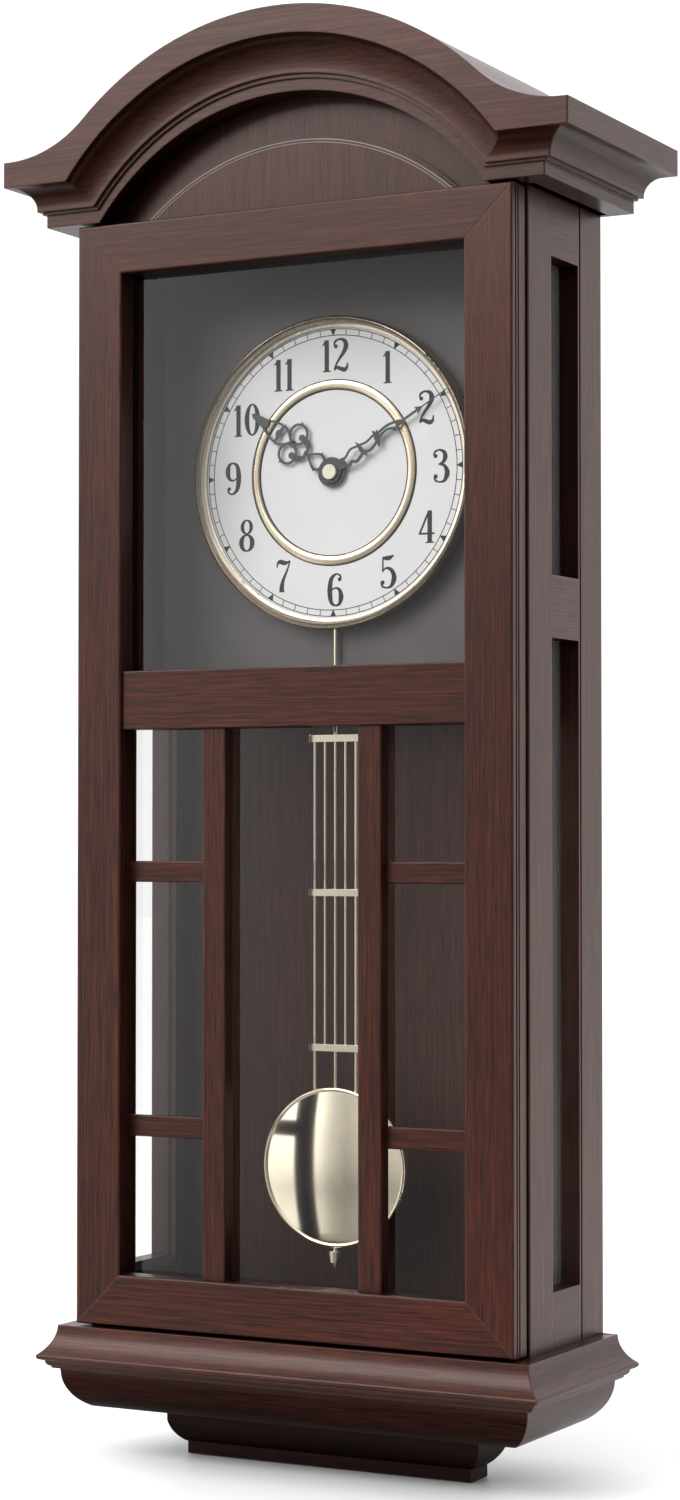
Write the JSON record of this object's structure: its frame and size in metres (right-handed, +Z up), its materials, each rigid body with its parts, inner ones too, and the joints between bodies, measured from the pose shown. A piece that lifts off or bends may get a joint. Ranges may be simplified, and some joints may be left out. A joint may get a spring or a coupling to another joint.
{
  "type": "wall clock",
  "caption": "Schoolhouse-style wooden wall clock with a glazed hinged door, an arched moulded crown, a stepped base, round dial with hands and a swinging lyre pendulum.",
  "frame": {"origin": "centre of the hanger plate's keyhole, on the crown's flat back face, which rests on the wall", "axes": "+X to the right as you face the clock, +Y into the wall, +Z up"},
  "size_m": [0.3024, 0.1301, 0.6912],
  "materials": {
    "wood_frame": "satin dark mahogany stain",
    "wood_panel": "dark stained board",
    "board": "smooth dark board",
    "brass_aged": "lacquered, aged",
    "brass": "polished",
    "cell": "printed sleeve",
    "steel": "zinc plated",
    "dial_paint": "matt ivory",
    "hand_paint": "dark satin",
    "glass": "clear, polished",
    "white_plastic": "natural acetal",
    "black_plastic": "moulded",
    "rubber": "matt"
  },
  "bodies": {
    "case": {"back_panel": "wood_panel", "base_board": "wood_frame", "base_front": "wood_frame", "base_return_left": "wood_frame", "base_return_right": "wood_frame", "battery": "cell", "bezel": "brass_aged", "bush_nut": "brass", "case_bottom_board": "wood_panel", "case_front_post_left": "wood_frame", "case_front_post_right": "wood_frame", "case_rear_post_left": "wood_frame", "case_rear_post_right": "wood_frame", "case_top_board": "wood_panel", "catch_magnet": "steel", "crown_front": "wood_frame", "crown_rear": "wood_frame", "crown_return_left": "wood_frame", "crown_return_right": "wood_frame", "crown_roof": "wood_frame", "dial_battens": "wood_panel", "dial_board": "board", "dial_plate": "dial_paint", "dial_ring": "brass_aged", "hanger_plate": "steel", "hanger_screws": "steel", "hinge_case_leaves": "brass_aged", "hinge_pins": "brass_aged", "movement_cover": "black_plastic", "movement_shell": "black_plastic", "pedestal": "wood_frame", "side_glass": "glass", "side_glass_beads": "wood_panel", "side_rails_bottom": "wood_frame", "side_rails_mid": "wood_frame", "side_rails_top": "wood_frame", "tympanum": "wood_frame", "tympanum_panel": "wood_frame", "wall_bumpers": "rubber"},
    "door": {"door_crossbars": "wood_frame", "door_glass": "glass", "door_mid_rail": "wood_frame", "door_muntins": "wood_frame", "door_rail_bottom": "wood_frame", "door_rail_top": "wood_frame", "door_stile_left": "wood_frame", "door_stile_right": "wood_frame", "catch_strike": "steel", "hinge_door_leaves": "brass_aged"},
    "pendulum": {"pendulum_hanger": "black_plastic", "pendulum_rod": "brass", "lyre": "brass", "bob": "brass", "rating_nut": "brass"},
    "minute": {"minute_hand": "hand_paint", "hand_nut": "dial_paint", "minute_arbor": "white_plastic"},
    "hour": {"hour_hand": "hand_paint", "hour_wheel": "white_plastic"},
    "setting": {"setting_wheel": "white_plastic"}
  },
  "joints": [
    {"name": "door_hinge", "type": "hinge", "parent": "case", "child": "door", "pos_m": [-0.1206, -0.101, -0.29], "axis": [0, 0, -1], "range_deg": [0, 110]},
    {"name": "pendulum_swing", "type": "hinge", "parent": "case", "child": "pendulum", "pos_m": [0, -0.0577, -0.198], "axis": [0, 1, 0], "range_deg": [-4, 4]},
    {"name": "minute_turn", "type": "hinge", "parent": "case", "child": "minute", "pos_m": [0, -0.0577, -0.163], "axis": [0, 1, 0], "continuous": true},
    {"name": "hour_turn", "type": "hinge", "parent": "case", "child": "hour", "pos_m": [0, -0.0577, -0.163], "axis": [0, 1, 0], "continuous": true},
    {"name": "setting_turn", "type": "hinge", "parent": "case", "child": "setting", "pos_m": [-0.012, -0.0457, -0.163], "axis": [0, 1, 0], "continuous": true}
  ],
  "couplings": [
    {"joint": "setting_turn", "follows": "minute_turn", "ratio": -0.33333},
    {"joint": "hour_turn", "follows": "minute_turn", "ratio": 0.083333}
  ]
}
